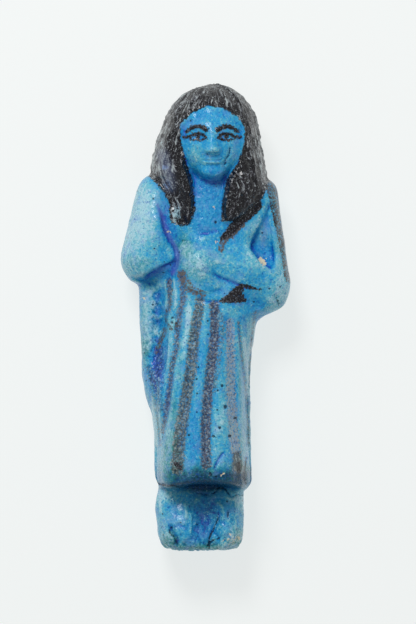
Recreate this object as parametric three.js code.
// An overseer ushabti of blue faience, pressed in one piece in an open mould and laid on its flat back.
// A figure in a long wig and a pleated kilt: one arm hangs out of a wide sleeve, the other is bent
// across the waist, and a worn block below the hem holds the feet.
//
// Millimetres. X runs across the figure, +Y towards the crown and +Z out of the chest. The origin is
// the middle of the figure's footprint, on the surface that it lies on.

import * as THREE from 'three';

// ---------------------------------------------------------------- driving dimensions

const CROWN_Y = 60;
const SOLE_Y = -60;
const HEM_Y = -42.8; // lower edge of the kilt, on average
const HEM_DRAFT = 0.05; // how far the hem's wall leans outward, per millimetre of its height
const WIG_HEM_Y = 24.4; // lower ends of the wig's lappets
const CORE_Z = 10; // height of the core that the figure is carved back to
const BACK_CUT_Z = 0; // the flat back, struck off level

const FACE = { x: 1.7, eyes: 45.9, eyeGap: 3.7, nose: 42.7, lips: 39.9, chin: 37.2 };
const WIG_EDGE = { depth: 6, width: 2.1 };
const PLEAT = { depth: 0.65, halfWidth: 1.4, belt: 5, foot: -40 };
// Where each pleat leaves the belt, and where it meets the hem.
const PLEATS = [
  [-9.4, -19.5],
  [-5.6, -13.3],
  [-1.9, -7.2],
  [2.2, -0.4],
  [6.1, 8.7],
  [9.6, 12.2],
];

// The mesh: rows of facets along the figure, zone by zone, and columns of them around it.
const CROWN_ROWS = 9;
const SOLE_ROWS = 7;
const ROW_ZONES = [
  { from: 50, to: 34, rows: 20 },
  { from: 34, to: 22, rows: 12 },
  { from: 22, to: -2, rows: 17 },
  { from: -2, to: -40, rows: 17 },
  { from: -40, to: -45, rows: 11 },
  { from: -45, to: -55, rows: 6 },
];
const FRONT_COLUMNS = 28;
const OPENING_COLUMNS = 16; // of the front columns, those that run inside the wig's opening
const SIDE_COLUMNS = 8;
const BACK_COLUMNS = 4;
const FAN_SHARE = 0.84; // how far out the rays that fan round each flank start, as a share of its reach

// ---------------------------------------------------------------- forms
// A form is a function of a point: its rough distance to the form's surface, below zero inside.

const clamp = THREE.MathUtils.clamp;
const lerp = THREE.MathUtils.lerp;

// The lower of two distances, rounded over the blend width: it joins two forms with a soft valley.
function join(a, b, blend) {
  const near = Math.max(blend - Math.abs(a - b), 0);
  return Math.min(a, b) - (near * near) / (4 * blend);
}

// Keeps what lies inside both forms, with a rounded edge.
const keep = (a, b, blend) => -join(-a, -b, blend);

// A smooth curve of one value along the figure, through the given stations.
function along(stations, values) {
  const spline = new THREE.CubicInterpolant(stations, values, 1);
  const first = stations[0];
  const last = stations[stations.length - 1];
  return (y) => spline.evaluate(clamp(y, first, last))[0];
}

// A body drawn along Y between its first and last stations, whose section is a rounded square between
// its four edges, and whose ends are rounded off by the blend width.
function loft({ y, left, right, front, back, square, ends }) {
  const first = y[0];
  const last = y[y.length - 1];
  const leftAt = along(y, left);
  const rightAt = along(y, right);
  const frontAt = along(y, front);
  const backAt = along(y, back);
  return (px, py, pz) => {
    const halfWidth = (rightAt(py) - leftAt(py)) / 2;
    const halfDepth = pz > CORE_Z ? frontAt(py) - CORE_Z : CORE_Z - backAt(py);
    const u = Math.abs(px - leftAt(py) - halfWidth) / halfWidth;
    const v = Math.abs(pz - CORE_Z) / halfDepth;
    const section = ((u ** square + v ** square) ** (1 / square) - 1) * Math.min(halfWidth, halfDepth);
    return keep(section, Math.max(first - py, py - last), ends);
  };
}

// A round limb that tapers between two joints, each [x, y, z, radius], stretched in Z.
function limb(from, to, deep = 1) {
  const run = [to[0] - from[0], to[1] - from[1], (to[2] - from[2]) / deep];
  const runSquared = run[0] ** 2 + run[1] ** 2 + run[2] ** 2;
  return (px, py, pz) => {
    const x = px - from[0];
    const y = py - from[1];
    const z = (pz - from[2]) / deep;
    const t = clamp((x * run[0] + y * run[1] + z * run[2]) / runSquared, 0, 1);
    return Math.hypot(x - t * run[0], y - t * run[1], z - t * run[2]) - lerp(from[3], to[3], t);
  };
}

// An ellipsoid.
function lump([cx, cy, cz], [rx, ry, rz]) {
  return (px, py, pz) => {
    const x = px - cx;
    const y = py - cy;
    const z = pz - cz;
    const scaled = Math.hypot(x / rx, y / ry, z / rz);
    const slope = Math.hypot(x / rx ** 2, y / ry ** 2, z / rz ** 2) || 1;
    return (scaled * (scaled - 1)) / slope;
  };
}

// ---- torso and kilt

// The hem's wavy line across the figure.
const hemLine = along(
  [-13.5, -12, -10.4, -6.8, -4.5, 0, 5, 8.2, 10.2, 11.6, 13],
  [-41.2, -42.2, -43.1, -43.4, -42.5, -42.2, -42.5, -43.1, -43.4, -42.4, -41],
);

const torso = loft({
  y: [-2, 8, 14, 20, 27, 33, 38],
  left: [-12, -13, -15, -16, -16, -14.5, -11],
  right: [12.8, 15, 17.5, 18.2, 17.8, 16.2, 12.5],
  front: [21.8, 21.2, 20.4, 20, 19.4, 18.2, 16.5],
  back: [-2.8, -3, -3.2, -3.2, -3, -2.6, -1.8],
  square: 2.3,
  ends: 4,
});

const kiltBody = loft({
  y: [-46, -39, -33, -26.5, -20, -10, 0, 8],
  left: [-12.6, -13.1, -13.1, -13.6, -14.2, -13.2, -11.6, -10.2],
  right: [11.9, 11.9, 11.6, 11.4, 11.4, 11.8, 13.2, 13.6],
  front: [29.8, 29.4, 28.5, 27.2, 26, 24.2, 22.6, 21.2],
  back: [-1.8, -2.2, -2.4, -2.6, -2.8, -3, -3, -2.8],
  square: 2.5,
  ends: 0.5,
});

// Depth of the fluting at a point of the kilt's front: each pleat runs from the belt to the hem.
function fluting(x, y) {
  const t = clamp((PLEAT.belt - y) / (PLEAT.belt - PLEAT.foot), 0, 1);
  const fade = clamp((PLEAT.belt - y) / 6, 0, 1);
  let depth = 0;
  for (const [top, foot] of PLEATS) {
    depth += Math.exp(-(((x - lerp(top, foot, t ** 1.15)) / PLEAT.halfWidth) ** 2));
  }
  return PLEAT.depth * fade * depth;
}

function kilt(x, y, z) {
  const pleated = kiltBody(x, y, z) + (z > CORE_Z ? fluting(x, y) : 0);
  const hem = hemLine(x) + HEM_DRAFT * (z - 28);
  return keep(pleated, hem - y, 2);
}

// ---- foot block, with the hollow between the two feet

const block = loft({
  y: [SOLE_Y, -57, -53, -48, -43, -36],
  left: [-11, -11.9, -12.5, -12.9, -11.9, -11.8],
  right: [8.8, 9.5, 9.8, 9.8, 9.8, 9.8],
  front: [18.4, 19.6, 19.2, 17.8, 16.8, 16.6],
  back: [0.6, -0.6, -1.2, -1.5, -1.8, -2],
  square: 4,
  ends: 1.8,
});
const betweenFeet = limb([0, -42, 20.8, 4.8], [0.6, -61, 22.2, 4.2]);

function feet(x, y, z) {
  return keep(block(x, y, z), -betweenFeet(x, y, z), 1.6);
}

// ---- the arm that hangs: a bell sleeve, cut off aslant at its hem, and the forearm below it

const sleeveBell = limb([-12.1, 31.4, 10.4, 5.8], [-15, 15, 11.2, 6.9], 1.35);
// The bell's flat front, which reaches over to the edge that lies on the chest.
const sleeveFront = loft({
  y: [6, 12, 15, 18, 20.4, 24, 28, 32],
  left: [-18.5, -19, -19, -18.6, -18, -17, -16, -15],
  right: [-7.4, -7.1, -7.1, -7.9, -9.2, -10.5, -11.4, -11.8],
  front: [18.4, 19.4, 19.8, 20, 20, 19.7, 19, 17.6],
  back: [5, 5, 5, 5, 5, 5, 5, 5],
  square: 3.2,
  ends: 1,
});
const SLEEVE_HEM = { x: -15.8, y: 9.7, slope: 0.5 }; // a point on the cut, and its rise across the figure
const hangingForearm = limb([-14.8, 8, 9.4, 2.5], [-13.8, -14, 9.4, 2.5], 2.1);
const hangingHand = lump([-13.2, -17.5, 10.4], [2.5, 5, 6.2]);

// The rise of the sleeve's cut edge from its point, dying out past the arm.
function sleeveRise(x) {
  return SLEEVE_HEM.slope * (x - SLEEVE_HEM.x) * THREE.MathUtils.smoothstep(-x, 3, 8);
}

function sleeve(x, y, z) {
  const edge = SLEEVE_HEM.y + SLEEVE_HEM.slope * (x - SLEEVE_HEM.x);
  const bell = join(sleeveBell(x, y, z), sleeveFront(x, y, z), 1.5);
  return keep(bell, (edge - y) / Math.hypot(1, SLEEVE_HEM.slope), 1.2);
}

// ---- the bent arm

const upperArm = limb([14.9, 32, 10, 3.6], [18.4, 9.6, 10.6, 3.2], 2.2);
const forearm = limb([15.8, 6.3, 13.2, 5.6], [10.2, 12, 16.4, 4.9], 1.1);
const wrist = limb([10.2, 12, 16.4, 4.9], [3, 14.6, 17.6, 4.2], 1.1);
const hand = lump([-1.2, 13.4, 15.4], [6.2, 7.4, 8.6]);

// ---- grooves that part the arms from the body

const sleeveValley = limb([-11, 27.4, 21.6, 0.8], [-7.8, 19, 20.8, 1.7], 1.5);
const sleeveValleyFoot = limb([-7.8, 19, 20.8, 1.7], [-7.2, 12.4, 20.8, 1.7], 1.5);
const armChannelTop = limb([-7.2, 12.4, 20.8, 1.7], [-12.2, 6, 19.4, 2.2], 1.6);
const armChannel = limb([-12.2, 6, 19.4, 2.2], [-11.4, -14, 20.2, 1.4], 2);
const elbowPit = limb([15.8, 28, 17.8, 0.7], [13.6, 19, 18.2, 2], 1.2);
const elbowPitFoot = limb([13.6, 19, 18.2, 2], [15.8, 15.4, 17.2, 2], 1.2);

// ---- wig

const wigCap = lump([1.4, CROWN_Y - 12.1, 12.6], [12.5, 11.7, 12.1]);
const wigTop = lump([3.4, CROWN_Y - 9.8, 12.4], [7.2, 9.4, 9.4]);
const wigHair = loft({
  y: [22, 29, 33, 37.5, 42, 47, 52],
  left: [-9.3, -9.6, -11.4, -14.2, -13.5, -12.2, -8.6],
  right: [14.2, 15.2, 16.4, 15.7, 14.9, 13.6, 10.5],
  front: [22, 22.6, 22.7, 22.6, 22.7, 23, 23],
  back: [-2.6, -2.6, -2.4, -2, -1.6, -1, 0],
  square: 2.7,
  ends: 1,
});

// The wig's opening frames the face and runs down between the lappets.
const openingHalfWidth = along(
  [22, 28.8, 33.5, 37, 40, 44, 48, 51, 53.4, 54.6],
  [4.8, 4.6, 5.1, 6.1, 7.4, 8.1, 8, 6.6, 3, -4],
);
const openingMiddle = along([22, 33.5, 37, 40, 44, 50], [0.5, 0.9, 1.2, 1.5, FACE.x, FACE.x]);

// Distance from the opening's edge, below zero inside it.
function wigOpening(x, y) {
  const slope = openingHalfWidth(y + 0.5) - openingHalfWidth(y - 0.5);
  return (Math.abs(x - openingMiddle(y)) - openingHalfWidth(y)) / Math.hypot(1, slope);
}

// Where the lappets end: the right one is cut off aslant.
const lappetEnd = (x) => WIG_HEM_Y + 0.06 * Math.max(x - 4.4, 0) ** 2;

// The opening's edge is a slope, sunk below the hair.
function wig(x, y, z) {
  const sunk = WIG_EDGE.depth * THREE.MathUtils.smoothstep(-wigOpening(x, y), 0, WIG_EDGE.width);
  const dome = join(wigCap(x, y, z + sunk), wigTop(x, y, z + sunk), 2.5);
  const mass = join(dome, wigHair(x, y, z + sunk), 1.6);
  return keep(mass, (lappetEnd(x) - y) * 0.8, 1.6);
}

// ---- head

const skull = lump([FACE.x, 46.6, 12.4], [10.4, 11, 12.6]);
const jaw = lump([FACE.x, 42, 15], [9, 7, 8.8]);
const neck = limb([0.6, 24, 9.6, 10.6], [FACE.x, 42, 9.4, 9.4]);
const nose = limb([FACE.x, FACE.eyes + 0.7, 24.5, 0.7], [FACE.x, FACE.nose, 25.4, 1.35]);
const lips = lump([FACE.x, FACE.lips, 23.3], [2.5, 0.9, 1.4]);
const chin = lump([FACE.x, FACE.chin, 21.4], [3.2, 1.8, 2.4]);

function head(x, y, z) {
  let face = join(keep(skull(x, y, z), 40 - y, 4), jaw(x, y, z), 3);
  for (const side of [-1, 1]) {
    const socket = lump([FACE.x + side * FACE.eyeGap, FACE.eyes, 27.2], [2.9, 1.6, 4]);
    const eyeball = lump([FACE.x + side * FACE.eyeGap, FACE.eyes - 0.1, 22], [1.9, 1, 1.5]);
    face = keep(face, -socket(x, y, z), 1);
    face = join(face, eyeball(x, y, z), 0.6);
  }
  face = join(face, nose(x, y, z), 1.2);
  face = join(face, lips(x, y, z), 0.8);
  return join(face, chin(x, y, z), 1.6);
}

// ---- the whole figure

function figure(x, y, z) {
  let body = join(torso(x, y, z), neck(x, y, z), 2);
  body = join(body, sleeve(x, y, z), 1.5);
  body = keep(body, -sleeveValley(x, y, z), 1.2);
  body = keep(body, -sleeveValleyFoot(x, y, z), 1.2);
  body = join(body, kilt(x, y, z), 1.2);
  body = keep(body, -armChannelTop(x, y, z), 1.2);
  body = keep(body, -armChannel(x, y, z), 1.5);
  body = join(body, hangingForearm(x, y, z), 1.2);
  body = join(body, hangingHand(x, y, z), 2.5);
  body = join(body, upperArm(x, y, z), 1.5);
  body = keep(body, -elbowPit(x, y, z), 1.2);
  body = keep(body, -elbowPitFoot(x, y, z), 1.2);
  const bent = join(join(forearm(x, y, z), wrist(x, y, z), 1), hand(x, y, z), 1.5);
  body = join(body, bent, 3);
  body = join(body, feet(x, y, z), 0.8);
  body = join(body, wig(x, y, z), 0.6);
  return join(body, head(x, y, z), 0.4);
}

// ---------------------------------------------------------------- carving
// A ball of facets is drawn out along the figure. Each of its corners lies on a ray that leaves the
// core, and is driven in along the ray until it meets the figure.

const FAR = 36; // the rays' length, past every surface
const STEP = 0.4;
const HALVINGS = 14;

// Where the outermost surface on a ray lies, as a distance from its start.
function reach(start, way) {
  const inside = (t) => figure(start[0] + t * way[0], start[1] + t * way[1], start[2] + t * way[2]) < 0;
  let outer = FAR;
  while (outer > 0 && !inside(outer - STEP)) outer -= STEP;
  let inner = Math.max(outer - STEP, 0);
  for (let i = 0; i < HALVINGS; i++) {
    const middle = (inner + outer) / 2;
    if (inside(middle)) inner = middle;
    else outer = middle;
  }
  return inner;
}

// Rows: each has its place along the figure and the tilt of its rays, from straight up to straight down.
function rowStations() {
  const rows = [];
  const top = ROW_ZONES[0].from;
  const bottom = ROW_ZONES[ROW_ZONES.length - 1].to;
  for (let i = 0; i < CROWN_ROWS; i++) rows.push({ y: top, tilt: (Math.PI / 2) * (1 - i / CROWN_ROWS) });
  for (const zone of ROW_ZONES) {
    for (let i = 0; i < zone.rows; i++) rows.push({ y: lerp(zone.from, zone.to, i / zone.rows), tilt: 0 });
  }
  for (let i = 0; i <= SOLE_ROWS; i++) rows.push({ y: bottom, tilt: (-Math.PI / 2) * (i / SOLE_ROWS) });
  return rows;
}

// How far the jaw's edge rises above the chin, dying out under the wig.
function jawRise(x) {
  const aside = Math.abs(x - FACE.x);
  return 0.085 * aside ** 2 * (1 - THREE.MathUtils.smoothstep(aside, 5.5, 9.5));
}

// Rows near an edge that crosses the figure bend to run along it: each bend has the edge's place, how
// far from it the rows still bend, and how far the edge strays there from its place.
const BENDS = [
  { y: HEM_Y, spread: 9, strays: (x) => hemLine(x) - HEM_Y },
  { y: FACE.chin - 1.6, spread: 7, strays: jawRise },
  { y: WIG_HEM_Y, spread: 13, strays: (x) => lappetEnd(Math.min(x, 13)) - WIG_HEM_Y },
  { y: SLEEVE_HEM.y, spread: 8, strays: sleeveRise },
];

function rowBend(x, y) {
  let bend = 0;
  for (const edge of BENDS) bend += edge.strays(x) * Math.max(1 - Math.abs(y - edge.y) / edge.spread, 0);
  return bend;
}

// Columns: across the front, round the right flank, across the back and round the left flank. Each has
// its share of the reach to that side, and the way its ray turns from the front.
function columnStations() {
  const columns = [];
  const flank = (i) => Math.PI * (i / SIDE_COLUMNS);
  for (let i = SIDE_COLUMNS / 2; i > 0; i--) columns.push({ share: -1, turn: -flank(i) });
  for (let i = 0; i < FRONT_COLUMNS; i++) columns.push({ share: (2 * i) / FRONT_COLUMNS - 1, turn: 0 });
  for (let i = 0; i < SIDE_COLUMNS; i++) columns.push({ share: 1, turn: flank(i) });
  for (let i = 0; i < BACK_COLUMNS; i++) columns.push({ share: 1 - (2 * i) / BACK_COLUMNS, turn: Math.PI });
  for (let i = SIDE_COLUMNS; i > SIDE_COLUMNS / 2; i--) columns.push({ share: -1, turn: -flank(i) });
  return columns;
}

// Where a column crosses a row: the columns inside the wig's opening close up and spread with its edges.
const openingShare = OPENING_COLUMNS / FRONT_COLUMNS;
const closeness = along([14, 24, 60], [0, 1, 1]);

function columnPlace(share, turn, { left, right }, y) {
  const middle = (right - left) / 2;
  const fan = FAN_SHARE * ((right + left) / 2);
  const even = middle + share * fan;
  const near = turn === 0 ? clamp(closeness(y), 0, 1) : 0;
  const t = Math.abs(share);
  const side = Math.sign(share);
  const edge = openingMiddle(y) + side * Math.min(openingHalfWidth(Math.min(y, 46)), fan * 0.8);
  const inner = lerp(openingMiddle(y), edge, t / openingShare);
  const outer = lerp(edge, middle + side * fan, (t - openingShare) / (1 - openingShare));
  return lerp(even, t < openingShare ? inner : outer, near);
}

function carvedFigure() {
  const rows = rowStations();
  const columns = columnStations();
  for (const row of rows) {
    row.left = reach([0, row.y, CORE_Z], [-1, 0, 0]);
    row.right = reach([0, row.y, CORE_Z], [1, 0, 0]);
  }
  const skin = new THREE.SphereGeometry(1, columns.length, rows.length - 1);
  const { position, uv } = skin.attributes;
  for (let i = 0; i < position.count; i++) {
    const row = rows[Math.round((1 - uv.getY(i)) * (rows.length - 1))];
    const column = columns[Math.round((uv.getX(i) + 1) * columns.length) % columns.length];
    const level = Math.cos(row.tilt);
    const rough = columnPlace(column.share, column.turn, row, row.y);
    const y = row.y + rowBend(rough * level, row.y) * level;
    const start = [columnPlace(column.share, column.turn, row, y) * level, y, CORE_Z];
    const way = [Math.sin(column.turn) * level, Math.sin(row.tilt), Math.cos(column.turn) * level];
    const t = reach(start, way);
    const z = Math.max(CORE_Z + t * way[2], BACK_CUT_Z);
    position.setXYZ(i, start[0] + t * way[0], start[1] + t * way[1], z);
  }
  skin.deleteAttribute('uv');
  skin.computeBoundingBox();
  const middle = skin.boundingBox.getCenter(new THREE.Vector3());
  skin.translate(-middle.x, -middle.y, 0);
  skin.computeVertexNormals();
  return skin;
}

const faience = new THREE.MeshStandardMaterial({ color: 0x2f86b8, roughness: 0.35, metalness: 0 });

const ushabti = new THREE.Mesh(carvedFigure(), faience);
ushabti.name = 'ushabti_figurine';

const part = new THREE.Group();
part.add(ushabti);

export default part;
